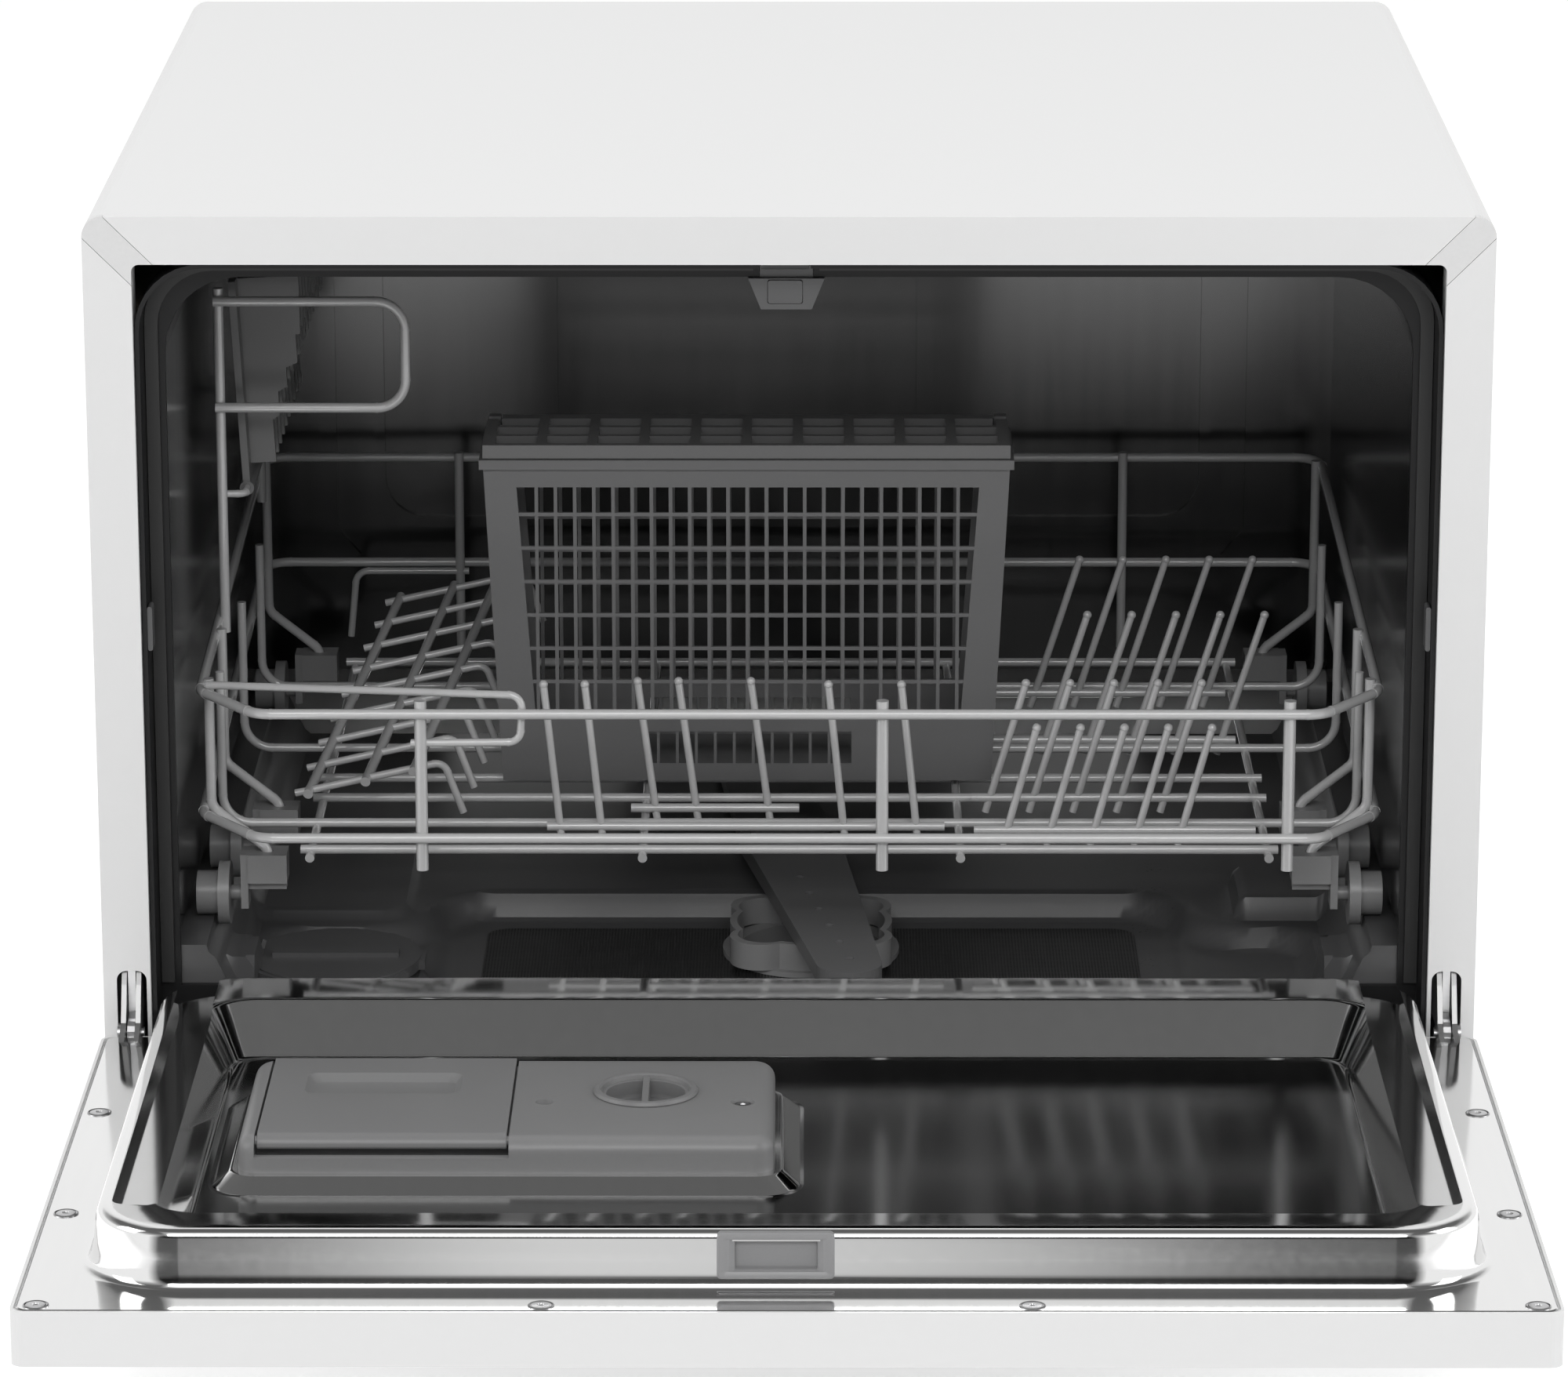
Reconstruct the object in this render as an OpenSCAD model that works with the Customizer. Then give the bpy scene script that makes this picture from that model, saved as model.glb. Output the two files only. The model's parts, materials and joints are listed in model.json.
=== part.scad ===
// Countertop dishwasher with its door open: x across, y from the door to the back, z up from the table.
// Every piece is drawn in cabinet coordinates, with y = 0 at the face of the front frame,
// and the pieces of the door are drawn shut and then swung open about the hinge pins.

/* [Cabinet] */
// Overall width
cab_w = 550; // [548:1:552]
// Overall height
cab_h = 438; // [437:1:442]
// Depth behind the front frame
cab_d = 479; // [474:1:500]
// Thickness of the painted steel sheet
sheet = 1.2; // [1:0.1:1.4]
// Width of the folded front frame
rail_w = 19; // [18.8:0.1:19.2]
// Height of the skirt that hides the feet
skirt_z = 12; // [9:1:13]
// Height of the control panel's top edge
fascia_top = 95; // [93:1:95]

/* [Door] */
// Thickness of the outer panel
door_t = 20.6; // [20:0.1:24]
// Gap between the door and the front frame
door_gap = 1; // [1:0.1:1.2]
// Height of the shut door's lower edge
door_low = 112; // [111:0.5:114]
// Hinge line, in front of the frame
pivot_y = -2; // [-2.2:0.1:-1.8]
// Height of the hinge line
pivot_z = 104.5; // [104.2:0.1:104.8]
// How far the door swings down from shut
door_swing = 88.5; // [80:0.5:90]
// How far the liner stands into the tub
plug_h = 22; // [21:0.5:22]

/* [Tub] */
// Half width inside the tub
tub_half = 246; // [245.5:0.1:246.5]
// Inner face of the tub's back wall
tub_back = 415; // [412:1:420]
// Height of the tub's roof
tub_top = 409; // [406:1:410]
// Height of the tub floor
floor_z = 107; // [106:0.5:108]
// Height of the wheel rails
rail_z = 132; // [131:0.5:132]

/* [Basket] */
// Radius of the frame wires
wire_r = 2.1; // [1.8:0.1:2.2]
// Radius of the rack wires
tine_r = 1.6; // [1.3:0.1:1.8]
// Radius of the wheel treads
tread_r = 9; // [8.6:0.1:9]
// Radius of the wheel flanges
wheel_r = 13; // [12:0.5:13]

/* [Hidden] */
$fn = 48;

half_w = cab_w / 2;
open_half = half_w - rail_w;                 // half width of the front opening
open_top = cab_h - rail_w;
door_out = -door_t - door_gap;               // outer face of the shut door
crest_y = plug_h - door_gap;                 // inner face of the shut door's liner
spout = 12;                                  // how far the water stubs stand out at the back
door_reach = -(pivot_y + (door_out - pivot_y) * cos(door_swing) - (cab_h - pivot_z) * sin(door_swing));
front_y = (door_reach - cab_d - spout) / 2;  // puts the origin under the middle of the whole
plug_half = 251;                             // liner plug at the flange
crest_half = 248.5;                          // liner plug at its face
crest_low = 101;
crest_high = 411.5;
disp_x = [-205, -5];                         // detergent dispenser, across and along the shut door
disp_z = [206, 307];
lid_axis = [17.2, 299];                      // detergent lid's hinge, y and z
filter_at = [9, 128];
hub_at = [0, 221];
salt_at = [-187, 76];
arm_reach = 189;
wheel_y = [69, 133, 373];
axle_z = rail_z + tread_r + 0.2;
clip_x = 213.5;
rim_y = 28;
rim_z = 229;
low_rim_z = 177;
rear_y = 388;
side_x = 239;
weld = 2.8;                                  // how far apart two welded wires' centres are
bed_z = 160;                                 // height of the basket's floor wires
cutlery_x = [-128, 92];
cutlery_y = [158, 212];
cutlery_z = [162.6, 302];
shelf_hinge = [-227, 288];                   // cup shelf's hinge, x and z
bed_r = tine_r + 0.3;                        // radius of the floor wires
rack_bars = [0, 24, 44];                     // the bowl rack's long bars, across from its low edge
lid_hinge = [212, 305.3];                    // cutlery lid's hinge, y and z
function rack_at(x, t) = [x - 200 + 26 * t, 122 + 200 * t, 169 + 0.22 * x + 28 * t];
function crest_top(y) = 415.5 - (y + door_gap) * 4 / plug_h;   // upper face of the liner's plug

// ---------- outlines and placing ----------
function arc(cx, cy, r, a0, a1, n = 6) =
    [for (i = [0:n]) let (a = a0 + (a1 - a0) * i / n) [cx + r * cos(a), cy + r * sin(a)]];
function round_rect(x0, y0, x1, y1, r, n = 6) = concat(
    arc(x1 - r, y1 - r, r, 0, 90, n), arc(x0 + r, y1 - r, r, 90, 180, n),
    arc(x0 + r, y0 + r, r, 180, 270, n), arc(x1 - r, y0 + r, r, 270, 360, n));
function arch(half, z0, z1, r, n = 8) = concat(
    [[-half, z0], [half, z0]], arc(half - r, z1 - r, r, 0, 90, n), arc(r - half, z1 - r, r, 90, 180, n));
function unit(v) = v / norm(v);

module in_frame() translate([0, front_y, 0]) children();
module on_door() in_frame() translate([0, pivot_y, pivot_z]) rotate([door_swing, 0, 0])
    translate([0, -pivot_y, -pivot_z]) children();
module xz(y0, y1) translate([0, y1, 0]) rotate([90, 0, 0]) linear_extrude(y1 - y0) children();
module yz(x0, x1) translate([x0, 0, 0]) rotate([90, 0, 90]) linear_extrude(x1 - x0) children();
module block(x0, x1, y0, y1, z0, z1) translate([x0, y0, z0]) cube([x1 - x0, y1 - y0, z1 - z0]);
module pillar(x, y, z0, z1, r) translate([x, y, z0]) cylinder(h = z1 - z0, r = r);
module stub_y(x, z, y0, y1, r) translate([x, y0, z]) rotate([-90, 0, 0]) cylinder(h = y1 - y0, r = r);
module stub_x(y, z, x0, x1, r) translate([x0, y, z]) rotate([0, 90, 0]) cylinder(h = x1 - x0, r = r);
module both_sides() { children(); mirror([1, 0, 0]) children(); }

// ---------- wires ----------
// A straight rod from a to b
module rod(a, b, r) {
    v = b - a;
    translate(a) rotate([0, acos(v[2] / norm(v)), atan2(v[1], v[0])])
        cylinder(h = norm(v), r = r, $fn = 24);
}
// A rod with a dipped, rounded end at b
module tine(a, b, r) {
    rod(a, b, r);
    translate(b) sphere(r + 0.3, $fn = 24);
}
// The slight swelling of the coating where a bend starts
module collar(at, along, r) rod(at - 0.5 * along, at + 0.5 * along, r + 0.12);
// A wire through the points p, bent to radius bend at each inner point
module wire(p, r, bend) {
    n = len(p);
    u = [for (i = [0:n - 2]) unit(p[i + 1] - p[i])];
    turn = [for (i = [0:n - 1]) i == 0 || i == n - 1 ? 0 : acos(max(-1, min(1, u[i - 1] * u[i])))];
    cut = [for (i = [0:n - 1]) bend * tan(turn[i] / 2)];
    for (i = [0:n - 2]) rod(p[i] + cut[i] * u[i], p[i + 1] - cut[i + 1] * u[i], r);
    for (i = [1:n - 2]) {
        collar(p[i] - cut[i] * u[i - 1], u[i - 1], r);
        collar(p[i] + cut[i] * u[i], u[i], r);
    }
    for (i = [1:n - 2]) {
        start = p[i] - cut[i] * u[i - 1];
        mid = p[i] + unit(u[i] - u[i - 1]) * bend / cos(turn[i] / 2);
        e1 = unit(start - mid);
        e2 = u[i - 1];
        e3 = cross(e1, e2);
        multmatrix([[e1[0], e2[0], e3[0], mid[0]], [e1[1], e2[1], e3[1], mid[1]],
                    [e1[2], e2[2], e3[2], mid[2]], [0, 0, 0, 1]])
            rotate_extrude(angle = turn[i]) translate([bend, 0]) circle(r, $fn = 24);
    }
}

// ---------- cabinet ----------
module corner_band(width) translate([half_w, cab_h]) rotate(45)
    translate([-60, -width / 2]) square([70, width]);
module front_ring() difference() {
    polygon(arch(half_w, fascia_top + 0.3, cab_h, 8));
    polygon(arch(open_half, fascia_top - 1, open_top, 3));
}
module cabinet_wrap() color("whitesmoke") in_frame() difference() {
    union() {
        xz(0, cab_d - sheet) difference() {
            polygon(arch(half_w, skirt_z, cab_h, 8));
            polygon(arch(half_w - sheet, skirt_z - 1, cab_h - sheet, 7));
        }
        xz(0, sheet) front_ring();
        xz(0, 14) difference() {
            polygon(arch(open_half + sheet, fascia_top + 0.3, open_top + sheet, 4));
            polygon(arch(open_half, fascia_top - 1, open_top, 3));
        }
    }
    block(-half_w - 1, half_w + 1, -1, 2, skirt_z - 1, fascia_top + 0.3);
    xz(-1, 3.3) both_sides() corner_band(12);
    block(-12.3, 9.3, 7.5, 15, open_top - 1, open_top + 2);
    both_sides() xz(-1, 2) translate([263.6, 0]) polygon(arch(6, fascia_top - 1, 130, 4));
}
module corner_inserts() color("gainsboro") in_frame() xz(0, 3) both_sides() intersection() {
    front_ring();
    corner_band(11.6);
}
module rear_panel() color("whitesmoke") in_frame() xz(cab_d - sheet, cab_d) difference() {
    polygon(arch(half_w, skirt_z, cab_h, 8));
    translate([-180, 60]) circle(15.5);
    translate([-120, 60]) circle(14.2);
    translate([190, 60]) circle(9.2);
    for (i = [0:8]) for (side = [-1, 1])
        translate([side * 120, 110 + i * 14]) polygon(round_rect(-42, -2.5, 42, 2.5, 2.4, 4));
}
module base_tray() color("dimgray") in_frame() difference() {
    block(-half_w + 1.6, half_w - 1.6, 8, cab_d - sheet - 0.4, skirt_z, 60);
    block(-half_w + 4.6, half_w - 4.6, 11, cab_d - 4.6, skirt_z + 3, 61);
    for (x = [-235, 235]) for (y = [48, 430]) pillar(x, y, skirt_z - 1, skirt_z + 4, 5.1);
    for (i = [0:6]) block(60 + i * 16, 68 + i * 16, 250, 330, skirt_z - 1, skirt_z + 4);
    stub_y(-180, 60, 460, cab_d, 15.5);
    stub_y(-120, 60, 460, cab_d, 14.2);
    stub_y(190, 60, 460, cab_d, 12);
}
module levelling_feet() color("gray") in_frame() for (x = [-235, 235]) for (y = [48, 430]) {
    translate([x, y, 0]) cylinder(h = 8, r1 = 15, r2 = 17);
    pillar(x, y, 7.9, 21.5, 5);
}
module control_panel() color("whitesmoke") in_frame() difference() {
    xz(-6, 1.6) polygon(round_rect(-half_w, skirt_z, half_w, fascia_top, 3));
    xz(-3, 2) polygon(round_rect(3 - half_w, skirt_z + 3, half_w - 3, fascia_top - 3, 2));
    xz(-7, 2) polygon(round_rect(60, 42, 130, 66, 3));
    stub_y(-225, 55, -7, 2, 9.3);
    for (x = [160, 195]) stub_y(x, 55, -7, 2, 7.3);
}
module display_window() color("black") in_frame() {
    xz(-5.8, -3) polygon(round_rect(60.2, 42.2, 129.8, 65.8, 2.8));
    xz(-3, -1.5) polygon(round_rect(57, 39, 133, 69, 3));
}
module push_button(x, r) in_frame() {
    stub_y(x, 55, -7.4, 1.5, r);
    stub_y(x, 55, -2.8, -1.4, r + 2);
}
module power_button() color("silver") push_button(-225, 9);
module program_button() color("silver") push_button(160, 7);
module start_button() color("silver") push_button(195, 7);
module control_board() color("darkgreen") in_frame() {
    block(30, 230, 4.4, 6, 28, 84);
    for (i = [0:3]) block(50 + i * 40, 64 + i * 40, 6, 7.6, 34, 46);
}

// ---------- tub ----------
module tub_frame() color("dimgray") in_frame() difference() {
    union() {
        xz(3, 24) difference() {
            polygon(arch(open_half - 0.4, fascia_top + 5.5, open_top - 0.4, 27));
            polygon(arch(open_half - 2.1, fascia_top, open_top - 2.1, 25.4));
        }
        xz(24, 27) difference() {
            polygon(arch(open_half - 0.4, fascia_top + 5.5, open_top - 0.4, 27));
            polygon(arch(tub_half, 116, tub_top, 30));
        }
    }
    block(-11.5, 8.5, 2, 24, open_top - 3, open_top + 1);
    block(-11.6, 9.6, 23, 28, 396, open_top + 1);
}
module door_gasket() color("black") in_frame() xz(21.5, 24) difference() {
    polygon(arch(open_half - 2.4, 118, open_top - 2.4, 25));
    polygon(arch(248.4, 117, open_top - 7, 22));
    translate([-14, open_top - 9]) square([26, 10]);
}
module pressed_panel(x0, z0, x1, z1, r) difference() {
    polygon(round_rect(x0, z0, x1, z1, r));
    polygon(round_rect(x0 + 5, z0 + 5, x1 - 5, z1 - 5, r - 4));
}
module tub_shell() color("silver") in_frame() {
    xz(27, tub_back) difference() {
        polygon(arch(tub_half + sheet, 139, tub_top + sheet, 31));
        polygon(arch(tub_half, 138, tub_top, 30));
    }
    xz(tub_back, tub_back + sheet) polygon(arch(tub_half + sheet, 139, tub_top + sheet, 31));
    xz(tub_back - 2, tub_back) {
        pressed_panel(-190, 207, 191, 398, 22);
        for (x = [-110, 61]) polygon(round_rect(x - 4, 220, x + 4, 385, 3.9));
        both_sides() polygon([[207, 398], [207, 206], [197, 194], [200, 189], [215, 205], [215, 398]]);
    }
}
module tub_floor() color([0.24, 0.24, 0.25]) in_frame() difference() {
    union() {
        difference() {
            union() {
                block(-250, 250, 27.2, 419, floor_z - 3, 138.8);
                block(-158, 173, 31, 180, 92, floor_z);
            }
            block(-tub_half, tub_half, 27, tub_back, rail_z, 139);
            hull() {
                block(-222, 222, 30, 410, floor_z, 150);
                block(-235, 235, 30, 412, 129, 150);
            }
            block(-235, 235, 26, 31, 116, 140);
            both_sides() block(222, 252, 31, 420, floor_z - 4, rail_z - 12);
            hull() {
                translate([0, 0, 95]) linear_extrude(1) polygon(round_rect(-142, 34, 157, 171, 14));
                translate([0, 0, floor_z]) linear_extrude(1) polygon(round_rect(-152, 34, 168, 177, 22));
            }
        }
        block(174, 221.5, 75, 112, floor_z - 1, 119);
        block(-221.5, -172, 117, 132, floor_z - 1, 116);
    }
    pillar(filter_at[0], filter_at[1], 91, 96, 36);
    pillar(salt_at[0], salt_at[1], floor_z - 4, floor_z + 1, 30.2);
    pillar(hub_at[0], hub_at[1], floor_z - 4, floor_z + 1, 12.2);
}
module microfilter_plate() color("darkgray") in_frame() difference() {
    translate([0, 0, 95.2]) linear_extrude(1.3) polygon(round_rect(-128, 37, 146, 159, 10));
    pillar(filter_at[0], filter_at[1], 95, 97, 34.5);
}
module sump() color("dimgray") in_frame() difference() {
    union() {
        pillar(filter_at[0], filter_at[1], 40, 91.8, 44);
        pillar(hub_at[0], hub_at[1], 60, 110.4, 12);
        pillar(hub_at[0], hub_at[1], 110, 118, 4);
        block(-12, 12, 140, 215, 62, 88);
    }
    pillar(filter_at[0], filter_at[1], 46, 92, 34);
}
module circulation_pump() color("darkslategray") in_frame() {
    stub_x(300, 52, -60, 20, 30);
    stub_x(300, 52, 20, 44, 36);
    block(-44, 4, 284, 316, skirt_z + 3.1, 40);
    stub_y(32, 52, 232, 280, 10);
}
module drain_pump() color("black") in_frame() {
    stub_x(128, 42, 53.1, 84, 24);
    stub_x(128, 42, 84, 130, 19);
}
module softener_tank() color("white") in_frame() difference() {
    union() {
        translate([0, 0, 22]) linear_extrude(69.5) polygon(round_rect(-246, 24, -148, 186, 10));
        pillar(salt_at[0], salt_at[1], 91, floor_z - 0.4, 28.6);
    }
    pillar(salt_at[0], salt_at[1], 40, floor_z, 24);
}
module air_break() color("ivory") in_frame() difference() {
    yz(-273.6, -247.4) polygon(round_rect(60, 165, 330, 390, 14));
    for (i = [0:4]) yz(-274, -270) polygon(round_rect(78 + i * 50, 180, 106 + i * 50, 375, 6));
}
module inlet_valve() color("white") in_frame() difference() {
    union() {
        translate([-180, 0, 60]) block(-20, 20, 430, cab_d - 5, -18, 18);
        stub_y(-180, 60, cab_d - 6, cab_d + spout, 13.2);
    }
    stub_y(-180, 60, cab_d - 10, cab_d + spout + 1, 8.5);
}
module drain_spigot() color("gray") in_frame() difference() {
    union() {
        stub_y(-120, 60, 440, cab_d - 11.9, 9.8);
        stub_y(-120, 60, 458, 462, 15.5);
        stub_y(-120, 60, cab_d - 12, cab_d + spout, 10.5);
    }
    stub_y(-120, 60, 439, cab_d + spout + 1, 8);
}
module cord_gland() color("black") in_frame() difference() {
    union() {
        stub_y(190, 60, cab_d - 6, cab_d + 9, 8.8);
        stub_y(190, 60, cab_d + 0.2, cab_d + 3, 12.5);
    }
    stub_y(190, 60, cab_d - 7, cab_d + 10, 4.2);
}

// ---------- latch, buffers and hinges ----------
module latch_housing() color("gray") in_frame() difference() {
    union() {
        xz(22, 26.8) polygon([[-16, 408.8], [14, 408.8], [9, 396.4], [-11, 396.4]]);
        block(-11.4, 9.4, 24.2, 26.8, 408, 421);
        block(-17, 15, 3, 42, 420.5, 433);
    }
    xz(20, 31) polygon(round_rect(-8.5, 398.6, 5.5, 408.4, 1));
    block(-11.2, 8.2, 8.4, 18.6, 417, 427);
}
module latch_hook() color("darkgray") in_frame() {
    yz(-10.8, 7.8) polygon([[9, 424], [18, 424], [18, 414.4], [15.5, 413.9], [9, 417]]);
}
module latch_plunger() color("silver") in_frame() {
    xz(21.5, 27.4) polygon(round_rect(-8.2, 398.9, 5.2, 408.1, 1));
}
module side_buffers() color("gray") in_frame() both_sides()
    xz(4, 12) polygon(round_rect(251.8, 262, 253.8, 280, 0.9, 3));
module hinge_brackets() color("silver") in_frame() both_sides() difference() {
    union() {
        yz(262.2, 265.2) polygon(concat(arc(pivot_y, pivot_z, 6, 90, 270, 8),
            [[40, 98.5], [40, 160], [1.5, 160], [1.5, 112]]));
        block(265.2, 273, 1.5, 3.3, 133, 160);
    }
    stub_x(pivot_y, pivot_z, 262, 266, 2.52);
}
module hinge_pins() color("silver") in_frame() both_sides() {
    stub_x(pivot_y, pivot_z, 258.8, 268.2, 2.5);
    stub_x(pivot_y, pivot_z, 268.1, 269.4, 4);
}

// ---------- door ----------
screw_at = concat([for (s = [-1, 1]) for (z = [211, 331, 431]) [s * 266, z]], [[-87, 431], [87, 431]]);
module arm_slits(y0) both_sides() block(258.8, 268.8, y0, 0, 108, 131);
module door_panel() color("whitesmoke") on_door() difference() {
    xz(door_out, -door_gap) polygon(round_rect(-half_w, door_low, half_w, cab_h, 5));
    for (y = [[door_out + sheet, -3.6], [-2.3, 0]]) xz(y[0], y[1])
        polygon(round_rect(sheet - half_w, door_low + sheet, half_w - sheet, cab_h - sheet, 4));
    xz(-4, 0) polygon(round_rect(-261, 123, 261, 427, 3));
    xz(door_out - 1, door_out + 2) polygon(round_rect(-68, 388, 68, 424, 8));
    for (p = screw_at) stub_y(p[0], p[1], -5, 0, 1.8);
    arm_slits(-16);
}
module door_grip() color("gainsboro") on_door() difference() {
    xz(door_out + 0.2, -7) polygon(round_rect(-67.8, 388.2, 67.8, 423.8, 7.8));
    xz(door_out - 1, -8.5) polygon(round_rect(-66, 390, 66, 422, 6.5));
}
module plug(shrink, depth) hull() {
    xz(-door_gap - sheet - depth, -door_gap - depth) polygon(round_rect(shrink - plug_half, 114 + shrink,
        plug_half - shrink, 415.5 - shrink, 34, 8));
    xz(crest_y - 1 - depth, crest_y - depth) polygon(round_rect(shrink - crest_half, crest_low + shrink,
        crest_half - shrink, crest_high - shrink, 32, 8));
}
module basin(grow) {
    hull() {
        xz(1 - grow, 1.5) polygon(round_rect(-226 - grow, 147 - grow, 226 + grow, 386 + grow, 14, 6));
        xz(crest_y, crest_y + 1) polygon(round_rect(-235 - grow, 131 - grow, 235 + grow, 389 + grow, 20, 6));
    }
    both_sides() xz(crest_y - 6.5 - grow, crest_y + 1)
        polygon(round_rect(228 - grow, 99, 243.5 + grow, 384 + grow, 4, 4));
}
module door_liner() color("silver") on_door() difference() {
    union() {
        xz(-door_gap - sheet, -door_gap) difference() {
            polygon(round_rect(sheet - half_w + 0.2, door_low + sheet + 0.2,
                half_w - sheet - 0.2, cab_h - sheet - 0.2, 4));
            polygon(round_rect(-249.8, 115.2, 249.8, 414.3, 33, 8));
        }
        plug(0, 0);
    }
    difference() {
        union() {
            plug(sheet, sheet);
            xz(-3, 0) polygon(round_rect(-249.8, 115.2, 249.8, 414.3, 33, 8));
        }
        basin(sheet);
    }
    basin(0);
    xz(-4, 3) polygon(round_rect(disp_x[0] - 0.3, disp_z[0] - 0.3, disp_x[1] + 0.3, disp_z[1] + 0.3, 8));
    block(-20.3, 16.3, 4.2, 16.8, 402, 418);
    for (p = screw_at) stub_y(p[0], p[1], -3, 0, 1.8);
    arm_slits(-3);
}
module liner_screws() color("silver") on_door() for (p = screw_at) {
    stub_y(p[0], p[1], -10, -0.9, 1.7);
    stub_y(p[0], p[1], -door_gap + 0.02, -0.2, 4.2);
}
module strike_frame() color("gray") on_door() difference() {
    union() {
        yz(-20.1, 16.1) polygon([[4.4, 401], [16.6, 401], [16.6, crest_top(16.6) + 0.5],
            [4.4, crest_top(4.4) + 0.5]]);
        yz(-22, 18) polygon([[3.2, crest_top(3.2) + 0.05], [19.2, crest_top(19.2) + 0.05],
            [19.2, crest_top(19.2) + 1], [3.2, crest_top(3.2) + 1]]);
    }
    block(-18, 14, 6.4, 14.6, 404, 417);
}
module hinge_arms() color("silver") on_door() both_sides() difference() {
    for (x = [259.8, 265.6]) yz(x, x + 2) union() {
        polygon([[-12, 188], [-5.5, 188], [-5.5, 128], [5, 108], [-2, 97], [-10, 104], [-12, 116]]);
        translate([pivot_y, pivot_z]) circle(7.6);
        polygon([[-2, 98], [16, 92], [24, 94], [25, 100], [18, 104], [2, 111]]);
    }
    stub_x(pivot_y, pivot_z, 259, 268, 2.56);
}

// ---------- detergent dispenser ----------
module dispenser_bezel() color("silver") on_door() difference() {
    hull() {
        xz(1.1, 1.6) polygon(round_rect(disp_x[0] - 11, disp_z[0] - 9, disp_x[1] + 11, disp_z[1] + 10, 14));
        xz(6, 6.5) polygon(round_rect(disp_x[0] - 4, disp_z[0] - 3, disp_x[1] + 4, disp_z[1] + 4, 10));
    }
    xz(0, 8) polygon(round_rect(disp_x[0] - 0.3, disp_z[0] - 0.3, disp_x[1] + 0.3, disp_z[1] + 0.3, 8));
}
module dispenser_body() color("dimgray") on_door() difference() {
    union() {
        xz(-16, 17) polygon(round_rect(disp_x[0], disp_z[0], disp_x[1], disp_z[1], 8));
        xz(17, 20) polygon(round_rect(disp_x[0] + 1.5, disp_z[0] + 1.5, disp_x[1] - 1.5, disp_z[1] - 1.5, 7));
    }
    block(-198.4, -103.8, 16.6, 21, 205, 303.4);
    block(-198.4, -103.8, 13.8, 21, 294, 303.4);
    xz(-10, 21) polygon(round_rect(-190, 216, -112, 288, 10));
    stub_y(-54, 249.5, 4, 21, 15.1);
    stub_x(lid_axis[0], lid_axis[1], -201.2, -101, 1.56);
}
module detergent_lid() color("gray") on_door() difference() {
    union() {
        xz(16.8, 19.8) polygon(round_rect(-198, 206.6, -104.2, 299, 1.5, 3));
        stub_x(lid_axis[0], lid_axis[1], -198, -104.2, 2.6);
        stub_x(lid_axis[0], lid_axis[1], -201, -101.2, 1.5);
    }
    xz(18.8, 21) polygon(round_rect(-186, 228, -123, 254, 3));
}
module rinse_cap() color("gray") on_door() {
    difference() {
        union() {
            stub_y(-54, 249.5, 8, 20.2, 15);
            stub_y(-54, 249.5, 20.1, 21.9, 19.5);
        }
        stub_y(-54, 249.5, 20.6, 22.5, 16.8);
    }
    block(-56, -52, 20.5, 22.9, 235.5, 263.5);
}

// ---------- spray arm, filter and salt cap ----------
module spray_arm() color("gray") in_frame() translate([hub_at[0], hub_at[1], 0]) rotate(8) difference() {
    union() {
        for (s = [-1, 1]) hull() {
            translate([0, 0, 111]) cylinder(h = 8, r = 21, $fn = 32);
            translate([0, s * (arm_reach - 13.5), 111.5]) cylinder(h = 6.5, r = 13.5, $fn = 32);
        }
        pillar(0, 0, 110.8, 123, 17);
    }
    pillar(0, 0, 110, 120, 4.06);
    for (s = [-1, 1]) for (i = [0:5]) pillar(s * (4 - i), s * (60 + i * 22), 115, 122, 2);
}
module clover(r, lobe) {
    circle(r);
    for (a = [45:90:315]) rotate(a) translate([r - lobe * 0.35, 0]) circle(lobe);
}
module filter_cup() color("gray") in_frame() translate([filter_at[0], filter_at[1], 0]) difference() {
    union() {
        pillar(0, 0, 56, 97.2, 33.6);
        pillar(0, 0, 96.7, 99, 37);
        translate([0, 0, 99]) linear_extrude(11.3) difference() {
            clover(34, 13);
            clover(31, 11.5);
        }
    }
    pillar(0, 0, 59, 100, 30);
    for (a = [0:30:330]) rotate(a) block(28, 36, -3, 3, 66, 90);
}
module salt_cap() color("dimgray") in_frame() translate([salt_at[0], salt_at[1], 0]) {
    pillar(0, 0, 98, floor_z + 1, 23.6);
    pillar(0, 0, floor_z + 0.5, floor_z + 5, 35);
    for (a = [0:45:315]) rotate(a) block(30, 37, -7, 7, floor_z + 0.8, floor_z + 4.4);
    block(-26, 26, -4, 4, floor_z + 4.9, floor_z + 7);
}

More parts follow.
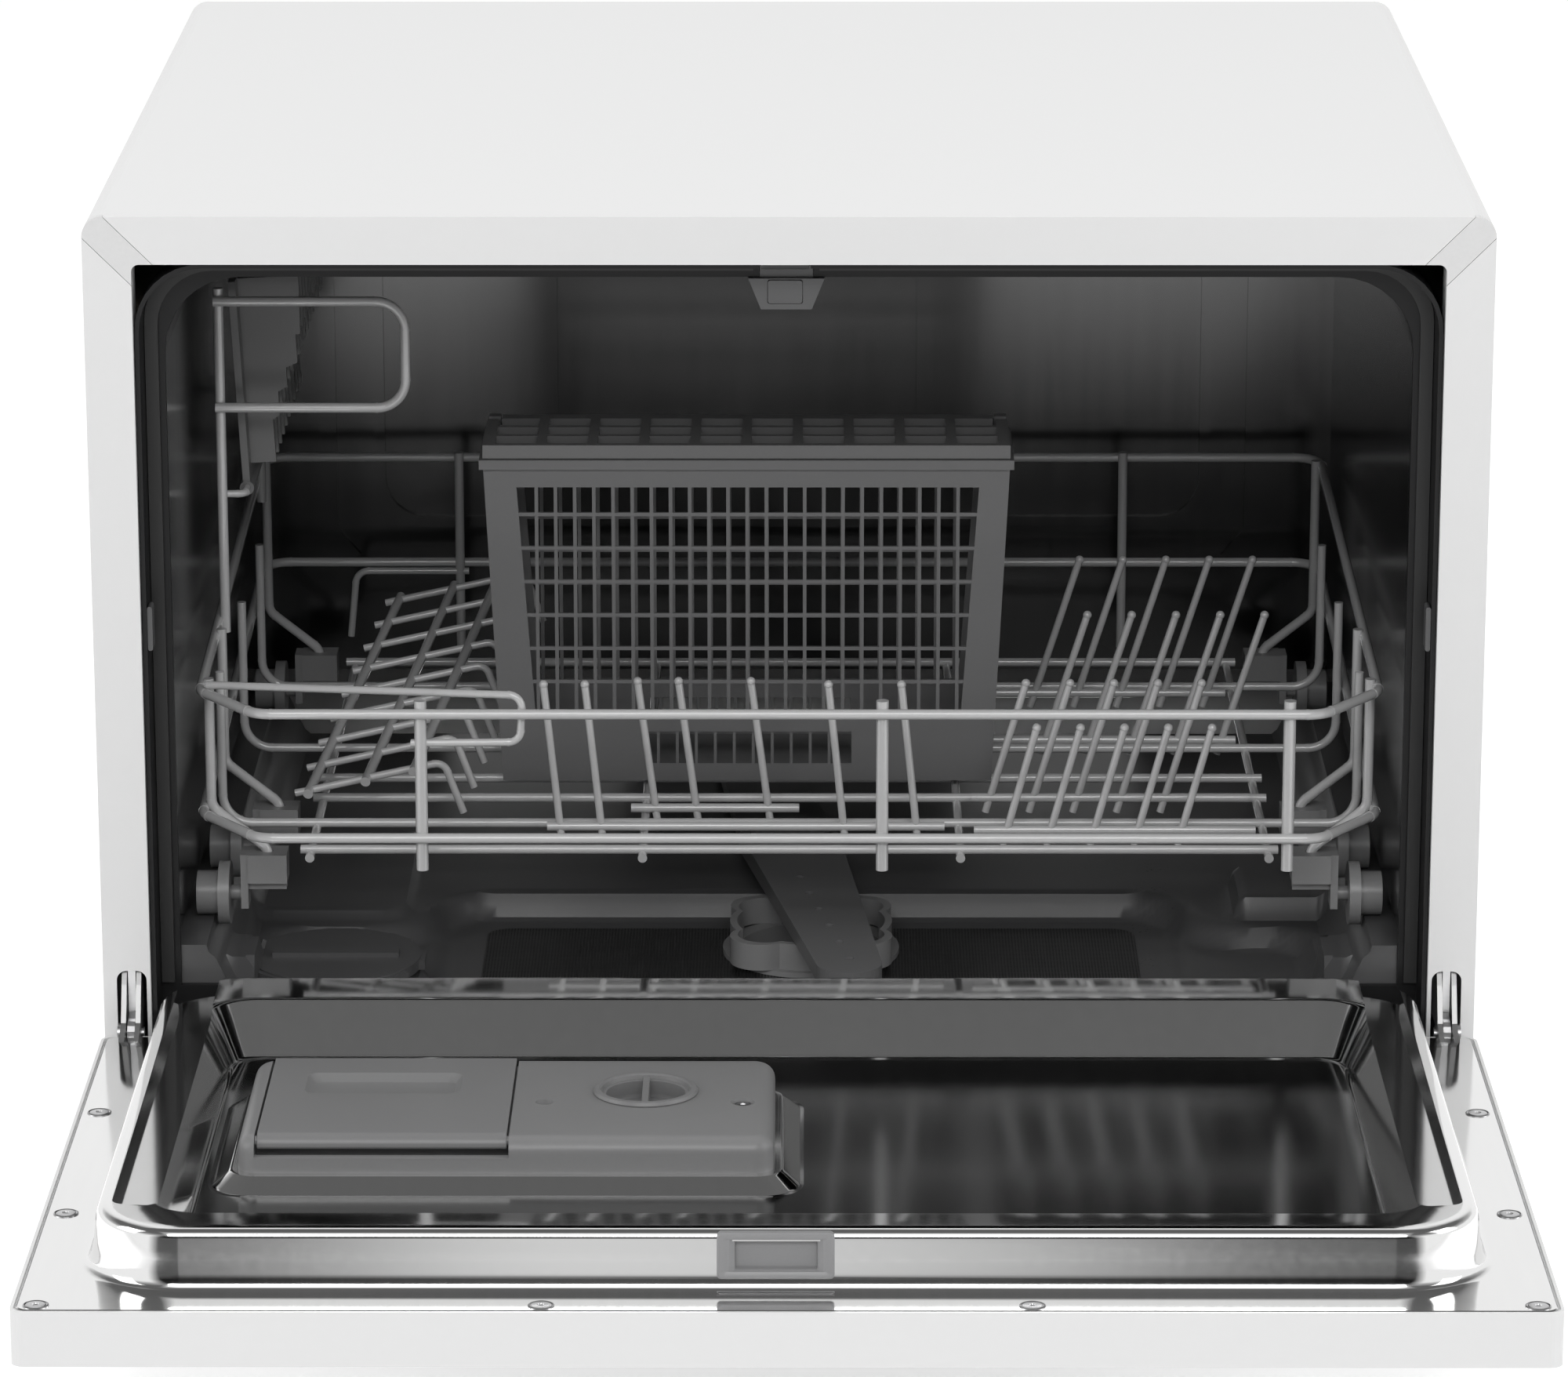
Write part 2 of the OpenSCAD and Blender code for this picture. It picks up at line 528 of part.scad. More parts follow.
// ---------- basket ----------
module rim(z, rise) {
    wire([[0, rear_y, z + rise], [side_x, rear_y, z + rise], [side_x, 62, z], [214, rim_y, z],
        [-214, rim_y, z], [-side_x, 62, z], [-side_x, rear_y, z + rise], [0, rear_y, z + rise]], wire_r, 12);
    collar([0, rear_y, z + rise], [1, 0, 0], wire_r);
}
function side_rim(z, rise, y) = z + rise * (y - 62) / (rear_y - 62);
module clip_leg(side, y) wire([[side * (side_x - weld), y, side_rim(rim_z, 17, y) + 3],
    [side * (side_x - weld), y, 178], [side * clip_x, y, 160], [side * clip_x, y, 149]], wire_r, 7);
module basket_frame() color("gray") in_frame() {
    rim(rim_z, 17);
    rim(low_rim_z, 20);
}
module basket_legs() color("gray") in_frame() {
    for (side = [-1, 1]) {
        for (y = wheel_y) clip_leg(side, y);
        rod([side * 150, rear_y - weld, bed_z - 2], [side * 150, rear_y - weld, rim_z + 20], wire_r);
    }
    for (x = [-148, 37.5, 201]) rod([x, rim_y + weld, 163], [x, rim_y + weld, 234], wire_r + 0.4);
    wire([[-236, 59, 232.4], [-107, 31.2, 236], [-108, 31.2, 216.5], [-152, 31.6, 216]], tine_r, 5);
    wire([[-200, rear_y - weld, 163], [-197, rear_y - weld, 193.6], [-146, rear_y - weld, 193.6]], tine_r, 6);
}
module basket_floor() color("gray") in_frame() {
    for (y = [105, 215, 312]) wire([[-side_x + 4.2, y, rim_z - 4], [-side_x + 4.2, y, bed_z],
        [side_x - 4.2, y, bed_z], [side_x - 4.2, y, rim_z - 4]], bed_r, 12);
    for (y = [68, 141, 170, 352]) rod([-200, y, bed_z], [200, y, bed_z], bed_r);
}
module basket_stringers() color("gray") in_frame() {
    for (x = [-196, -60, 70, 196]) rod([x, 62, bed_z - 2], [x, 358, bed_z - 2], bed_r);
    for (x = rack_bars) rod(rack_at(x, -0.02), rack_at(x, 1.02), wire_r);
}
module tine_row(y, x0, count, step, lean, top) for (i = [0:count - 1])
    tine([x0 + i * step, y, bed_z - 4], [x0 + i * step + lean, y, top], tine_r);
module plate_tines() color("gray") in_frame() {
    tine_row(88, 88, 5, 18, 13.5, 206);
    tine_row(134, 82, 5, 18.3, 16.5, 212);
    tine_row(220, 108, 5, 19, 19.5, 218);
    tine_row(294, 106, 5, 19, 21, 223);
    for (y = [88, 134, 220, 294]) rod([76, y, bed_z + 2.2], [192, y, bed_z + 2.2], bed_r);
    for (x = [-94, -77, 23, 53]) tine([x, 93, bed_z - 4], [x - 7, 93, 223], tine_r);
    for (x = [-55, -38, -8]) tine([x, 119, bed_z - 4], [x - 8, 119, 217], tine_r);
    rod([-100, 93, bed_z + 2.2], [64, 93, bed_z + 2.2], bed_r);
    rod([-66, 119, bed_z + 2.2], [4, 119, bed_z + 2.2], bed_r);
}
module bowl_rack() color("gray") in_frame() for (i = [0:8])
    let (a = rack_at(-6, i / 8), b = rack_at(56, i / 8)) wire([a, b, b + [8, 0, -22]], tine_r, 5);
module glass_rail() color("gray") in_frame() {
    wire([[-238, 150, 371], [-159, 150, 371], [-159, 150, 326], [-238, 150, 326]], wire_r, 12);
    rod([weld - side_x, 150 + weld, 229], [weld - side_x, 150 + weld, 376], wire_r);
    rod([weld - side_x, 346, 236], [weld - side_x, 346, 294], wire_r);
    wire([[-238, 155, shelf_hinge[1]], [shelf_hinge[0], 155, shelf_hinge[1]],
        [shelf_hinge[0], 345, shelf_hinge[1]], [-238, 345, shelf_hinge[1]]], 1.54, 3);
}
module wheel_bracket(y) {
    difference() {
        block(205.5, 221.5, y - 7, y + 7, 147, 159);
        pillar(clip_x, y, 146, 160, wire_r + 0.15);
    }
    block(221.5, 224.5, y - 6, y + 6, 136, 159);
    block(206, 224, y - 3, y + 3, 143.5, 147);
    stub_x(y, axle_z, 224.4, 241.5, 3);
}
module wheel_brackets() color("dimgray") in_frame() both_sides() for (y = wheel_y) wheel_bracket(y);
module wheel(side, y) color("gray") in_frame() scale([side, 1, 1]) difference() {
    union() {
        stub_x(y, axle_z, 229, 233.6, wheel_r);
        stub_x(y, axle_z, 233.5, 242.6, tread_r);
    }
    stub_x(y, axle_z, 228, 241.7, 3.06);
}
module wheel_front_left() wheel(-1, wheel_y[0]);
module wheel_front_right() wheel(1, wheel_y[0]);
module wheel_middle_left() wheel(-1, wheel_y[1]);
module wheel_middle_right() wheel(1, wheel_y[1]);
module wheel_rear_left() wheel(-1, wheel_y[2]);
module wheel_rear_right() wheel(1, wheel_y[2]);

// ---------- cutlery basket and cup shelf ----------
module taper(inset) polygon([
    [cutlery_x[0] + inset + 7, cutlery_z[0] + inset], [cutlery_x[1] - inset - 7, cutlery_z[0] + inset],
    [cutlery_x[1] - inset, cutlery_z[1] - inset], [cutlery_x[0] + inset, cutlery_z[1] - inset]]);
module lid_pins(x0, x1, r) stub_x(lid_hinge[0], lid_hinge[1], x0, x1, r);
module cutlery_basket() color("gray") in_frame() {
    difference() {
        xz(cutlery_y[0], cutlery_y[1]) taper(0);
        xz(cutlery_y[0] + 2, cutlery_y[1] - 2) translate([0, 3]) taper(2.2);
        xz(cutlery_y[0] + 2, cutlery_y[1] - 2) translate([0, 30]) taper(3);
        xz(cutlery_y[0] - 1, cutlery_y[1] + 1) polygon([[-114, 290], [79, 290], [72, 192], [-107, 192]]);
        xz(cutlery_y[0] - 1, cutlery_y[1] + 1) polygon([[-60, 184], [26, 184], [26, 170], [-60, 170]]);
    }
    for (y = [cutlery_y[0], cutlery_y[1] - 2]) {
        for (i = [0:22]) block(-106.5 + i * 8, -105 + i * 8, y + 0.2, y + 1.6, 191, 291);
        for (i = [0:5]) block(-114, 79, y + 0.2, y + 1.6, 205 + i * 14.5, 206.5 + i * 14.5);
        for (i = [0:9]) block(-56 + i * 8, -54.8 + i * 8, y + 0.2, y + 1.6, 169, 185);
    }
    difference() {
        block(cutlery_x[0] - 1.5, cutlery_x[1] + 1.5, cutlery_y[0] - 2, cutlery_y[1] + 2, 298, 302);
        block(cutlery_x[0] + 2.2, cutlery_x[1] - 2.2, cutlery_y[0] + 2, cutlery_y[1] - 2, 297, 303);
    }
    for (x = [cutlery_x[0] + 0.5, cutlery_x[1] - 5.5]) difference() {
        block(x, x + 5, 208.4, 213.8, 301.5, 308.3);
        lid_pins(x - 1, x + 6, 1.56);
    }
}
module cutlery_lid() color("dimgray") in_frame() {
    difference() {
        block(cutlery_x[0], cutlery_x[1], cutlery_y[0], cutlery_y[1], 302.3, 308);
        for (i = [0:9]) for (j = [0:2])
            block(cutlery_x[0] + 5 + i * 21.4, cutlery_x[0] + 22.4 + i * 21.4, cutlery_y[0] + 4 + j * 15.6,
                cutlery_y[0] + 16.4 + j * 15.6, 301, 309);
        for (x = [cutlery_x[0] - 1, cutlery_x[1] - 6.2]) block(x, x + 7.2, 205, 213, 301, 309);
    }
    lid_pins(cutlery_x[0] + 6.2, cutlery_x[1] - 6.2, 2.85);
    lid_pins(cutlery_x[0] + 1, cutlery_x[1] - 1, 1.5);
}
module shelf_tooth() polygon([[0, 8], [12, 8], [12, 26], [15, 28], [15, 38], [19, 40], [19, 48], [24, 50],
    [24, 62], [26, 62], [27, 87], [0, 87]]);
module cup_shelf() color("silver") in_frame() translate([shelf_hinge[0], 0, shelf_hinge[1]])
    rotate([0, -3, 0]) difference() {
    union() {
        block(-1.5, 1.5, 165, 335, 2, 88);
        stub_y(0, 0, 164.5, 335.5, 3);
        for (i = [0:9]) xz(176 + i * 16, 179 + i * 16) shelf_tooth();
    }
    stub_y(0, 0, 160, 340, 1.6);
}

cabinet_wrap();
corner_inserts();
rear_panel();
base_tray();
levelling_feet();
control_panel();
display_window();
control_board();
power_button();
program_button();
start_button();
tub_frame();
door_gasket();
tub_shell();
tub_floor();
microfilter_plate();
sump();
circulation_pump();
drain_pump();
softener_tank();
air_break();
inlet_valve();
drain_spigot();
cord_gland();
latch_housing();
latch_hook();
latch_plunger();
side_buffers();
hinge_brackets();
hinge_pins();
door_panel();
door_grip();
door_liner();
liner_screws();
strike_frame();
hinge_arms();
dispenser_bezel();
dispenser_body();
detergent_lid();
rinse_cap();
spray_arm();
filter_cup();
salt_cap();
basket_frame();
basket_legs();
basket_floor();
basket_stringers();
plate_tines();
bowl_rack();
glass_rail();
wheel_brackets();
wheel_front_left();
wheel_front_right();
wheel_middle_left();
wheel_middle_right();
wheel_rear_left();
wheel_rear_right();
cutlery_basket();
cutlery_lid();
cup_shelf();
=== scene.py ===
# The countertop dishwasher, its door open and its basket in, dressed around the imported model.
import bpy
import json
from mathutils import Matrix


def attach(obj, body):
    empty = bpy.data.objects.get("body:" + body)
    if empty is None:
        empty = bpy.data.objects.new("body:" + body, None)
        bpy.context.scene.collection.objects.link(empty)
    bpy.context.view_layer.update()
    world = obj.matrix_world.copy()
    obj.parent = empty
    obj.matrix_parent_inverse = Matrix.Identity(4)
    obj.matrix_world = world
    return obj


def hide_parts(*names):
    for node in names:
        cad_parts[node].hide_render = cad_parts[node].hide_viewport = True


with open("model.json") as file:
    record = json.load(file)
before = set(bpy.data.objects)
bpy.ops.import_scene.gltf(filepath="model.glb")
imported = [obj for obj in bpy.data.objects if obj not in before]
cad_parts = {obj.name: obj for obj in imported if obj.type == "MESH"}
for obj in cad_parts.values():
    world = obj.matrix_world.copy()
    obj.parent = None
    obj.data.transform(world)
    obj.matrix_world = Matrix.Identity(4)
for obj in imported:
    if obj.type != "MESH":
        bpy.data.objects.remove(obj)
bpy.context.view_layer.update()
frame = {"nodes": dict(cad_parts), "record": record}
import bpy
import bmesh
import json
from math import sin, cos, pi, radians, hypot
from mathutils import Vector, Matrix

print("scene: packed model loaded")

# Drawings are in millimetres: x across, y from the front frame's face to the back, z from the table.
cabinet = {
    "frontY": -77.55,                                # where the front frame's face lies in the model
    "pivotY": -2, "pivotZ": 104.5, "swing": 88.5,    # the door's hinge line and how far it is open
}

def at(x, y, z):
    return Vector((x, y + cabinet["frontY"], z)) / 1000

doorTurn = Matrix.Rotation(radians(cabinet["swing"]), 3, "X")
doorPivot = Vector((0, cabinet["pivotY"], cabinet["pivotZ"]))

def atDoor(x, y, z):  # a point drawn on the shut door, carried to the open one
    return at(*(doorTurn @ (Vector((x, y, z)) - doorPivot) + doorPivot))

photoView = {
    "lens": 152.84, "sensor": 36, "clip": (0.1, 30),
    "pitch": 15.884, "yaw": -0.179, "roll": 0.024, "place": (6.0, -2535.2, 969.2),
}

def makeCamera(v):
    camera = bpy.data.objects.new("photoCamera", bpy.data.cameras.new("photoCamera"))
    bpy.context.scene.collection.objects.link(camera)
    camera.data.sensor_fit = "HORIZONTAL"
    camera.data.sensor_width = v["sensor"]
    camera.data.lens = v["lens"]
    camera.data.clip_start, camera.data.clip_end = v["clip"]
    aim = (Matrix.Rotation(radians(-v["yaw"]), 4, "Z") @ Matrix.Rotation(radians(90 - v["pitch"]), 4, "X")
           @ Matrix.Rotation(radians(-v["roll"]), 4, "Z"))
    camera.matrix_world = Matrix.Translation(at(*v["place"])) @ aim
    bpy.context.scene.camera = camera

makeCamera(photoView)
print("scene: camera set")

class Term:  # wraps a value socket, so that shader maths reads as an expression
    def __init__(self, shader, socket):
        self.shader, self.socket = shader, socket

    def join(self, operation, a, b):
        return self.shader.make("ShaderNodeMath", {"operation": operation}, {0: a, 1: b})

    def __add__(self, other): return self.join("ADD", self, other)
    def __radd__(self, other): return self.join("ADD", other, self)
    def __sub__(self, other): return self.join("SUBTRACT", self, other)
    def __rsub__(self, other): return self.join("SUBTRACT", other, self)
    def __mul__(self, other): return self.join("MULTIPLY", self, other)
    def __rmul__(self, other): return self.join("MULTIPLY", other, self)

class Shader:  # the node tree of a material or of the world
    def __init__(self, owner, coordinates="Object"):
        owner.use_nodes = True
        self.owner, self.tree = owner, owner.node_tree
        self.tree.nodes.clear()
        self.place = self.make("ShaderNodeTexCoord", {}, {}, coordinates)

    def make(self, kind, settings, values, output=0):
        node = self.tree.nodes.new(kind)
        for key, value in settings.items():
            if key == "stops":
                fillRamp(node.color_ramp, value)
            else:
                setattr(node, key, value)
        for key, value in values.items():
            if isinstance(value, Term):
                self.tree.links.new(value.socket, node.inputs[key])
            else:
                node.inputs[key].default_value = value
        return Term(self, node.outputs[output]) if node.outputs else None

    def noise(self, scale, detail, stretch=(1, 1, 1)):
        spot = self.make("ShaderNodeMapping", {}, {"Vector": self.place, "Scale": stretch})
        return self.make("ShaderNodeTexNoise", {}, {"Vector": spot, "Scale": scale, "Detail": detail})

    def axis(self, name):
        return self.make("ShaderNodeSeparateXYZ", {}, {"Vector": self.place}, name)

    def wave(self, value):
        return self.make("ShaderNodeMath", {"operation": "SINE"}, {0: value})

    def ease(self, value, low, high):
        return self.make("ShaderNodeMapRange", {"interpolation_type": "SMOOTHSTEP"},
                         {"Value": value, "From Min": low, "From Max": high})

    def blend(self, factor, a, b, kind="MIX"):  # each colour is three numbers or a term
        a, b = (colour if isinstance(colour, Term) else (*colour, 1) for colour in (a, b))
        return self.make("ShaderNodeMix", {"data_type": "RGBA", "blend_type": kind},
                         {0: factor, 6: a, 7: b}, 2)

    def toneAlong(self, axis, stops, reach=1):  # a grey ramp over a direction's share, from -reach to reach
        places = [((where / reach + 1) / 2, tone) for where, tone in stops]
        return self.make("ShaderNodeValToRGB", {"stops": places}, {0: self.axis(axis) * (0.5 / reach) + 0.5})

    def plainRays(self):  # one where the camera, a mirror or glass looks straight at the backdrop
        total, glossy, through = (self.make("ShaderNodeLightPath", {}, {}, kind + " Ray")
                                  for kind in ("Is Camera", "Is Glossy", "Is Transmission"))
        for ray in (glossy, through):
            total = total.join("MAXIMUM", total, ray)
        return total

    def bump(self, height, relief):
        strength, distance = relief
        return self.make("ShaderNodeBump", {}, {"Height": height, "Strength": strength, "Distance": distance})

    def surface(self, values):
        shade = self.make("ShaderNodeBsdfPrincipled", {}, values)
        self.make("ShaderNodeOutputMaterial", {}, {"Surface": shade})
        return self.owner

def fillRamp(ramp, stops):
    while len(ramp.elements) < len(stops):
        ramp.elements.new(0.5)
    for stop, (where, tone) in zip(ramp.elements, stops):
        stop.position, stop.color = where, (tone, tone, tone, 1)

def newShader(name):
    return Shader(bpy.data.materials.new(name))

# Each relief is a bump's strength and its height in metres.
paint = {
    "light": (0.81, 0.81, 0.81), "shade": (0.79, 0.79, 0.79), "rough": 0.33, "roughSpread": 0.08,
    "cloud": (3, 4), "peel": (1400, 2), "relief": (0.06, 0.0002), "coat": 0.25, "coatRough": 0.12,
}

def paintedSheet(name, v):
    s = newShader(name)
    cloud, peel = s.noise(*v["cloud"]), s.noise(*v["peel"])
    return s.surface({"Base Color": s.blend(cloud, v["shade"], v["light"]),
                      "Roughness": v["rough"] + (cloud - 0.5) * v["roughSpread"],
                      "Normal": s.bump(peel, v["relief"]),
                      "Coat Weight": v["coat"], "Coat Roughness": v["coatRough"]})

steel = {
    "light": (0.88, 0.88, 0.875), "shade": (0.80, 0.80, 0.80), "rough": 0.04, "roughSpread": 0.05,
    "grain": (260, 4), "stretch": (1, 0.06, 1), "smear": (7, 3), "relief": (0.02, 0.00005),
}
# The tub's steel has a very dark colour as painted shade, standing for the dim light inside the tub.
tubSteelPaintedShade = {
    **steel, "light": (0.14, 0.14, 0.14), "shade": (0.08, 0.08, 0.08), "rough": 0.14,
    "grain": (180, 4), "stretch": (1, 1, 0.05), "relief": (0.05, 0.00005),
}
# The liner's basin floor is given painted shade: a darker colour there, set by a position mask.
linerSteel = {
    **steel, "paintedBasinShade": (0.26, 0.26, 0.26), "dullRough": 0.06,
    "floor": {"X": (-0.218, 0.218), "Y": (-0.3605, -0.1235)}, "floorTop": 0.118,    # the basin's, in metres
    "edge": 0.006, "topEdge": 0.002,
}

def rolledSteel(s, v, floor=None):
    grain, smear = s.noise(*v["grain"], v["stretch"]), s.noise(*v["smear"])
    colour = s.blend(grain * 0.5 + smear * 0.5, v["shade"], v["light"])
    rough = v["rough"] + grain * v["roughSpread"] + smear * v["roughSpread"]
    # Painted shade: the mask darkens the colour towards the painted basin shade tone, and it also roughens
    # the surface.
    if floor:
        colour = s.blend(floor, colour, v["paintedBasinShade"])
        rough = rough + floor * v["dullRough"]
    return s.surface({"Base Color": colour, "Metallic": 1.0, "Roughness": rough,
                      "Normal": s.bump(grain, v["relief"])})

def polishedSteel(name, v):
    return rolledSteel(newShader(name), v)

def pressedSteel(name, v):  # the liner: bright on its rim; on the floor of its basin rougher and darkened with painted shade
    s = newShader(name)
    floor = s.ease(s.axis("Z"), v["floorTop"], v["floorTop"] - v["topEdge"])
    for axis, (low, high) in v["floor"].items():
        place = s.axis(axis)
        floor = floor * s.ease(place, low, low + v["edge"]) * s.ease(place, high, high - v["edge"])
    return rolledSteel(s, v, floor)

plating = {
    "light": (0.66, 0.66, 0.66), "shade": (0.52, 0.52, 0.53), "rough": 0.24, "roughSpread": 0.12,
    "mottle": (220, 4), "relief": (0.1, 0.0001),
}
armPlating = {**plating, "light": (0.40, 0.40, 0.40), "shade": (0.25, 0.25, 0.25), "rough": 0.3}

def platedSteel(name, v):
    s = newShader(name)
    mottle = s.noise(*v["mottle"])
    return s.surface({"Base Color": s.blend(mottle, v["shade"], v["light"]), "Metallic": 1.0,
                      "Roughness": v["rough"] + mottle * v["roughSpread"],
                      "Normal": s.bump(mottle, v["relief"])})

moulding = {
    "cloud": (9, 3), "grainDetail": 3, "shade": 0.86, "cloudShare": 0.6, "grainShare": 0.4,
    "cloudSpread": 0.08, "grainSpread": 0.06, "relief": 0.00015, "coatRough": 0.08,
}

def mouldedPlastic(name, light, rough, grain=900, depth=0.12, coat=0.0, shine=0.5, v=moulding):
    s = newShader(name)
    cloud, spark = s.noise(*v["cloud"]), s.noise(grain, v["grainDetail"])
    dark = tuple(c * v["shade"] for c in light)
    tone = cloud * v["cloudShare"] + spark * v["grainShare"]
    rough = rough + (cloud - 0.5) * v["cloudSpread"] + (spark - 0.5) * v["grainSpread"]
    return s.surface({"Base Color": s.blend(tone, dark, light), "Roughness": rough,
                      "Normal": s.bump(spark, (depth, v["relief"])), "Coat Weight": coat,
                      "Coat Roughness": v["coatRough"], "Specular IOR Level": shine})

# The filter plate's holes are painted near-black: painted shade standing for the dark space seen through
# them.
filterMesh = {
    "pitch": 1.3, "light": (0.20, 0.20, 0.20), "dark": (0.01, 0.01, 0.01), "edge": (0.3, 0.9),
    "rough": 0.3, "holeRough": 0.4, "relief": (0.4, 0.0003),
}

def punchedSteel(name, v):  # the fine holes of the filter plate, painted near-black as painted shade
    s = newShader(name)
    turns = 2 * pi * 1000 / v["pitch"]
    hole = s.ease(s.wave(s.axis("X") * turns) + s.wave(s.axis("Y") * turns), *v["edge"])
    return s.surface({"Base Color": s.blend(hole, v["light"], v["dark"]), "Metallic": 1 - hole,
                      "Roughness": v["rough"] + hole * v["holeRough"],
                      "Normal": s.bump(1 - hole, v["relief"])})

# Plastics give their colour and roughness, then their grain, its depth, the coat and the shine.
finish = {
    "white_paint": paintedSheet("whitePaint", paint),
    "white_plastic": mouldedPlastic("whitePlastic", (0.80, 0.80, 0.80), 0.32, 700, 0.05),
    "grey_plastic": mouldedPlastic("greyPlastic", (0.30, 0.30, 0.305), 0.38),
    "dark_plastic": mouldedPlastic("darkPlastic", (0.10, 0.10, 0.102), 0.3),
    "tinted_window": mouldedPlastic("tintedWindow", (0.02, 0.02, 0.022), 0.08, 300, 0.01),
    "board": mouldedPlastic("boardGreen", (0.05, 0.22, 0.11), 0.4),
    "stainless": polishedSteel("polishedSteel", steel),
    "zinc": platedSteel("platedSteel", plating),
    "rubber": mouldedPlastic("gasketRubber", (0.022, 0.022, 0.022), 0.5, 600, 0.2),
    "coated_wire": mouldedPlastic("wireCoating", (0.61, 0.61, 0.613), 0.14, 500, 0.05, 1.0),
    "basket_plastic": mouldedPlastic("basketPlastic", (0.17, 0.17, 0.172), 0.4),
    "lid_plastic": mouldedPlastic("lidPlastic", (0.225, 0.225, 0.227), 0.36),
    "ivory_plastic": mouldedPlastic("ivoryPlastic", (0.70, 0.67, 0.58), 0.4),
}
linerFinish = pressedSteel("linerSteel", linerSteel)
housingFinish = mouldedPlastic("dispenserGrey", (0.24, 0.24, 0.242), 0.38)
wheelFinish = mouldedPlastic("wheelGrey", (0.28, 0.28, 0.282), 0.34)
shelfFinish = mouldedPlastic("lidDark", (0.17, 0.17, 0.171), 0.36)
latchFinish = mouldedPlastic("latchGrey", (0.10, 0.10, 0.102), 0.36)
ownFinish = {    # parts whose finish differs from the rest of their material
    "tub_shell": polishedSteel("tubSteelPaintedShade", tubSteelPaintedShade),
    "microfilter_plate": punchedSteel("filterPlateSteel", filterMesh),
    "tub_frame": mouldedPlastic("frameBlack", (0.012, 0.012, 0.0125), 0.4, 700, 0.1, 0.0, 0.25),
    "hinge_arms": platedSteel("armSteel", armPlating),
    "cutlery_lid": shelfFinish, "cup_shelf": shelfFinish, "filter_cup": wheelFinish,
    "latch_housing": latchFinish, "latch_plunger": latchFinish, "side_buffers": latchFinish,
}

def dress(obj, material):
    obj.data.materials.clear()
    obj.data.materials.append(material)

def dressNodes():
    for row in frame["record"]["subparts"]:
        name = row["node"]
        usual = wheelFinish if name.startswith("wheel_") else finish[row["material_slot"]]
        dress(frame["nodes"][name], ownFinish.get(name, usual))

dressNodes()
print("scene: finishes on", len(frame["nodes"]), "CAD nodes")

def sharpen(mesh, limit=35):  # smooth faces, with edges steeper than the limit kept crisp
    bm = bmesh.new()
    bm.from_mesh(mesh)
    bmesh.ops.recalc_face_normals(bm, faces=bm.faces)
    for face in bm.faces:
        face.smooth = True
    for edge in bm.edges:
        edge.smooth = len(edge.link_faces) == 2 and edge.calc_face_angle(0) < radians(limit)
    bm.to_mesh(mesh)
    bm.free()

def meshObject(name, verts, faces):
    mesh = bpy.data.meshes.new(name)
    mesh.from_pydata([tuple(v) for v in verts], [], faces)
    mesh.update()
    sharpen(mesh)
    obj = bpy.data.objects.new(name, mesh)
    bpy.context.scene.collection.objects.link(obj)
    return obj

def addPiece(name, shape, body, slot, replaces=()):
    obj = meshObject(name, *shape)
    obj.data.materials.append(finish[slot])
    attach(obj, body)
    if replaces:
        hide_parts(*replaces)
    return obj

def merge(*shapes):
    verts, faces = [], []
    for v, f in shapes:
        faces += [tuple(i + len(verts) for i in face) for face in f]
        verts += v
    return verts, faces

def cutAway(obj, *cutters):  # takes the cutters' volumes out of the piece for good
    for shape in cutters:
        cutter = meshObject("cutter", *shape)
        cut = obj.modifiers.new("cut", "BOOLEAN")
        cut.operation, cut.solver, cut.object = "DIFFERENCE", "EXACT", cutter
        bpy.context.view_layer.update()
        result = bpy.data.meshes.new_from_object(obj.evaluated_get(bpy.context.evaluated_depsgraph_get()))
        obj.modifiers.remove(cut)
        old, obj.data = obj.data, result
        bpy.data.meshes.remove(old)
        bpy.data.objects.remove(cutter)
    sharpen(obj.data)

def flats(obj):  # large flats stay flat beside small rounds
    weighted = obj.modifiers.new("flats", "WEIGHTED_NORMAL")
    weighted.keep_sharp, weighted.weight = True, 100

def roundEdges(obj, width, angle=38):
    bevel = obj.modifiers.new("edges", "BEVEL")
    bevel.width, bevel.segments, bevel.limit_method = width / 1000, 2, "ANGLE"
    bevel.angle_limit = radians(angle)
    bevel.harden_normals = True

def circle(r, n):
    return [(r * cos(2 * pi * i / n), r * sin(2 * pi * i / n)) for i in range(n)]

def quarter(cx, cy, r, start, n):
    turns = [radians(start + 90 * i / n) for i in range(n + 1)]
    return [(cx + r * cos(a), cy + r * sin(a)) for a in turns]

def roundedRect(x0, y0, x1, y1, r, n=10):
    return (quarter(x1 - r, y1 - r, r, 0, n) + quarter(x0 + r, y1 - r, r, 90, n)
            + quarter(x0 + r, y0 + r, r, 180, n) + quarter(x1 - r, y0 + r, r, 270, n))

def loft(rings):  # rings of equal length, closed by a cap at each end
    size, last = len(rings[0]), len(rings) - 1
    verts = [p for ring in rings for p in ring]
    faces = [(a * size + i, a * size + (i + 1) % size, (a + 1) * size + (i + 1) % size, (a + 1) * size + i)
             for a in range(last) for i in range(size)]
    return verts, faces + [tuple(range(size)), tuple(last * size + i for i in range(size))]

def doorRing(x0, z0, x1, z1, r, y, n=10):
    return [atDoor(x, y, z) for x, z in roundedRect(x0, z0, x1, z1, r, n)]

def doorBlock(x0, x1, y0, y1, z0, z1, r=1.0, n=4):
    return loft([doorRing(x0, z0, x1, z1, r, y, n) for y in (y0, y1)])

def doorStub(x, z, profile, n=40):  # a turned shape standing on the door: (radius, y) pairs
    return loft([[atDoor(x + a, y, z + b) for a, b in circle(r, n)] for r, y in profile])

